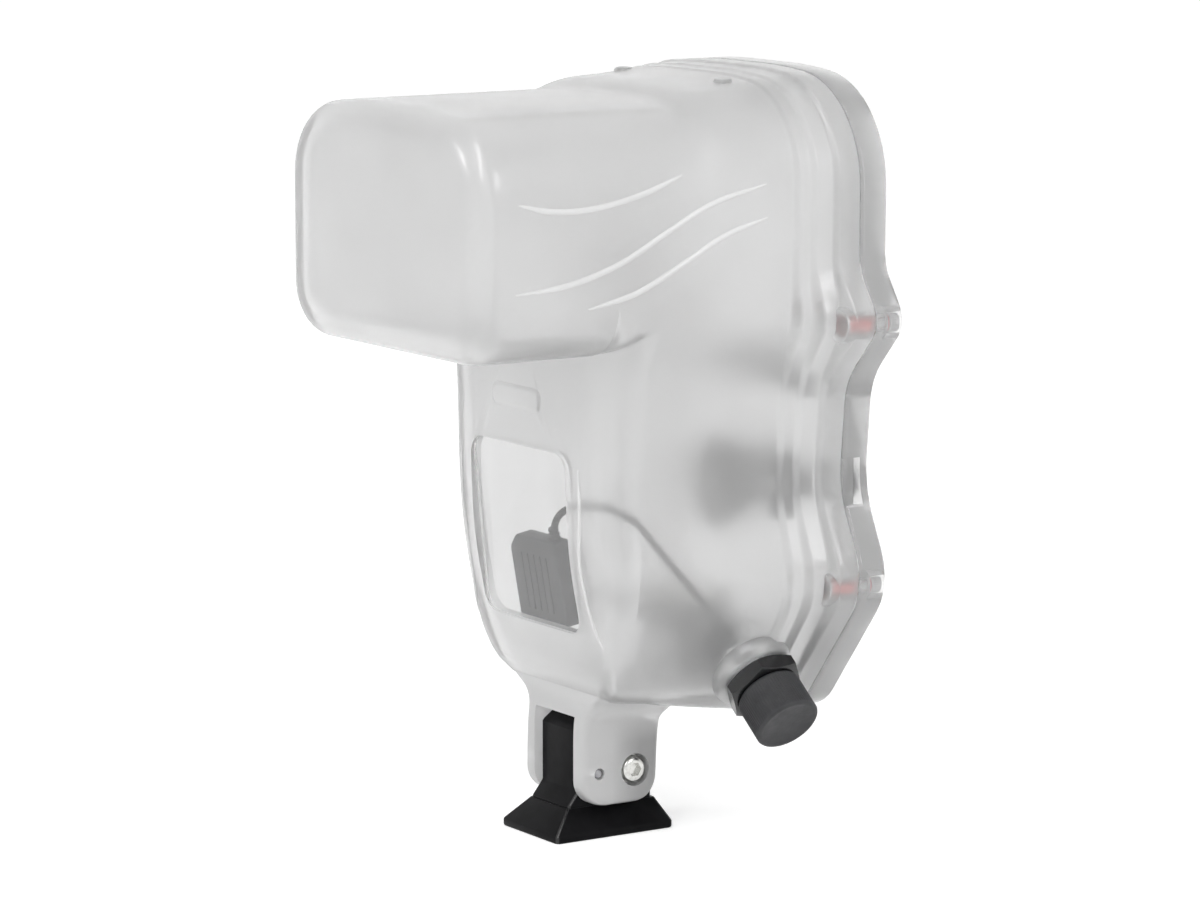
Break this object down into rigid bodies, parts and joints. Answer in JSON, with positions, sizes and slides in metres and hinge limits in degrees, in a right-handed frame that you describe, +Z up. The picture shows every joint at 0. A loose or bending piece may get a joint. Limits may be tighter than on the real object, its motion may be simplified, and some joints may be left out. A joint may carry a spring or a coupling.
{
  "type": "underwater flash housing",
  "caption": "Clear moulded housing for a camera flash under water, with a sealed rear cover, its controls, a sync connector and a mounting foot.",
  "frame": {"origin": "centre of the foot's underside", "axes": "+Z up, -Y the way the flash fires, +X the side that the sync connector is on"},
  "size_m": [0.1396, 0.1538, 0.2355],
  "materials": {
    "clear_shell": "moulded, slightly frosted",
    "clear_cover": "clear, polished edge",
    "foot_black": "satin moulded",
    "stainless": "turned",
    "insert_brass": "turned",
    "connector_metal": "anodised",
    "nut_black": "moulded",
    "cap_grey": "satin",
    "seal_rubber": "smooth",
    "lead_black": "smooth",
    "module_grey": "moulded",
    "bracket_aluminium": "brushed",
    "washer_red": "smooth",
    "button_metal": "turned",
    "knob_black": "moulded"
  },
  "bodies": {
    "case": {"front_shell": "clear_shell", "mounting_foot": "foot_black", "foot_clamp_screw": "stainless", "foot_screw_washer": "stainless", "foot_clamp_nut": "stainless", "foot_dowel_pin": "stainless", "closure_insert_upper_right": "insert_brass", "closure_insert_upper_left": "insert_brass", "closure_insert_lower_right": "insert_brass", "closure_insert_lower_left": "insert_brass", "connector_body": "connector_metal", "connector_nut": "nut_black", "connector_o_ring": "seal_rubber", "connector_insert": "nut_black", "cap_o_ring": "seal_rubber", "connector_lead": "lead_black", "shoe_lead": "lead_black", "interface_module": "module_grey", "shoe_bracket": "bracket_aluminium", "shoe_base": "knob_black", "shoe_rails": "stainless", "bracket_screw_1": "stainless", "bracket_screw_2": "stainless"},
    "cover": {"rear_cover": "clear_cover", "cover_o_ring": "seal_rubber", "closure_washer_upper_right": "washer_red", "closure_washer_upper_left": "washer_red", "closure_washer_lower_right": "washer_red", "closure_washer_lower_left": "washer_red", "button_gland_1": "connector_metal", "button_gland_2": "connector_metal", "button_gland_3": "connector_metal", "button_gland_4": "connector_metal", "select_gland": "connector_metal", "power_gland": "connector_metal"},
    "upper_right_screw": {"closure_screw_upper_right": "stainless"},
    "upper_left_screw": {"closure_screw_upper_left": "stainless"},
    "lower_right_screw": {"closure_screw_lower_right": "stainless"},
    "lower_left_screw": {"closure_screw_lower_left": "stainless"},
    "button_1": {"push_button_1": "button_metal", "button_clip_1": "stainless", "button_spring_1": "stainless"},
    "button_2": {"push_button_2": "button_metal", "button_clip_2": "stainless", "button_spring_2": "stainless"},
    "button_3": {"push_button_3": "button_metal", "button_clip_3": "stainless", "button_spring_3": "stainless"},
    "button_4": {"push_button_4": "button_metal", "button_clip_4": "stainless", "button_spring_4": "stainless"},
    "select_control": {"select_knob": "knob_black", "select_shaft": "stainless", "select_wheel": "seal_rubber"},
    "power_control": {"power_knob": "knob_black", "power_shaft": "stainless", "power_fork": "knob_black"},
    "cap": {"connector_cap": "cap_grey"}
  },
  "joints": [
    {"name": "cover_lift", "type": "slide", "parent": "case", "child": "cover", "axis": [0, 1, 0], "range_m": [0, 0.13]},
    {"name": "upper_right_screw_turn", "type": "hinge", "parent": "cover", "child": "upper_right_screw", "pos_m": [0.0643, 0.0642, 0.1605], "axis": [0, 1, 0], "continuous": true},
    {"name": "upper_left_screw_turn", "type": "hinge", "parent": "cover", "child": "upper_left_screw", "pos_m": [-0.0643, 0.0642, 0.1605], "axis": [0, 1, 0], "continuous": true},
    {"name": "lower_right_screw_turn", "type": "hinge", "parent": "cover", "child": "lower_right_screw", "pos_m": [0.0563, 0.0642, 0.079], "axis": [0, 1, 0], "continuous": true},
    {"name": "lower_left_screw_turn", "type": "hinge", "parent": "cover", "child": "lower_left_screw", "pos_m": [-0.0563, 0.0642, 0.079], "axis": [0, 1, 0], "continuous": true},
    {"name": "button_1_press", "type": "slide", "parent": "cover", "child": "button_1", "axis": [0, -1, 0], "range_m": [0, 0.002], "stiffness_N_per_m": 200, "springref_m": -0.001, "deforming": ["button_spring_1"]},
    {"name": "button_2_press", "type": "slide", "parent": "cover", "child": "button_2", "axis": [0, -1, 0], "range_m": [0, 0.002], "stiffness_N_per_m": 200, "springref_m": -0.001, "deforming": ["button_spring_2"]},
    {"name": "button_3_press", "type": "slide", "parent": "cover", "child": "button_3", "axis": [0, -1, 0], "range_m": [0, 0.002], "stiffness_N_per_m": 200, "springref_m": -0.001, "deforming": ["button_spring_3"]},
    {"name": "button_4_press", "type": "slide", "parent": "cover", "child": "button_4", "axis": [0, -1, 0], "range_m": [0, 0.002], "stiffness_N_per_m": 200, "springref_m": -0.001, "deforming": ["button_spring_4"]},
    {"name": "select_turn", "type": "hinge", "parent": "cover", "child": "select_control", "pos_m": [-0.002, 0.0708, 0.104], "axis": [0, 1, 0], "continuous": true},
    {"name": "power_turn", "type": "hinge", "parent": "cover", "child": "power_control", "pos_m": [0.028, 0.0708, 0.106], "axis": [0, 1, 0], "range_deg": [-45, 45]},
    {"name": "cap_lift", "type": "slide", "parent": "case", "child": "cap", "axis": [0.7965, 0, -0.6046], "range_m": [0, 0.03]}
  ]
}
